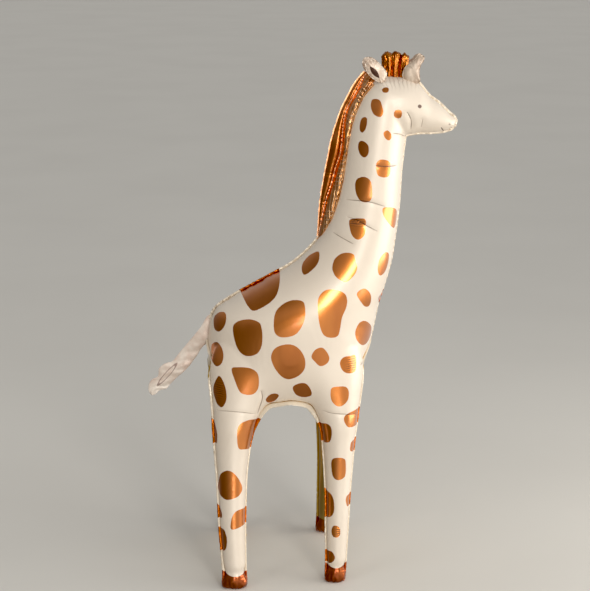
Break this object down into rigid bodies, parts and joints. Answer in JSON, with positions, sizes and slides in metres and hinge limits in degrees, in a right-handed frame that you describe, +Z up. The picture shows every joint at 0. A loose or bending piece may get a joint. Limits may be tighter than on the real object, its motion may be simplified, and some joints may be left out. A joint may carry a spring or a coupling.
{
  "type": "giraffe foil balloon",
  "caption": "Free-standing inflated foil balloon in the shape of a giraffe, with printed copper spots, a mane fin, a fluted forelock, leaf ears, knobbed horns and a flat tail",
  "frame": {"origin": "on the floor, under the middle of the whole balloon's bounding box", "axes": "+X towards the nose, +Y to the giraffe's left, +Z up"},
  "size_m": [0.5998, 0.3218, 1.02],
  "materials": {
    "cream_foil": "satin pearl print on metallised film, with copper spots and hooves, and plain gold film on the belly and inner legs",
    "copper_foil": "copper print on metallised film, crumpled along the seam",
    "forelock_foil": "copper print on metallised film, fluted",
    "ear_foil": "satin pearl print on metallised film, with a dark brown inner ear",
    "horn_foil": "satin pearl print on metallised film",
    "tail_foil": "pale satin print on metallised film, with a thin brown loop line near the tassel"
  },
  "bodies": {
    "root": {"body": "cream_foil", "mane": "copper_foil", "forelock": "forelock_foil", "ear_right": "ear_foil", "ear_left": "ear_foil", "horn_right": "horn_foil", "horn_left": "horn_foil", "tail": "tail_foil"}
  },
  "joints": []
}
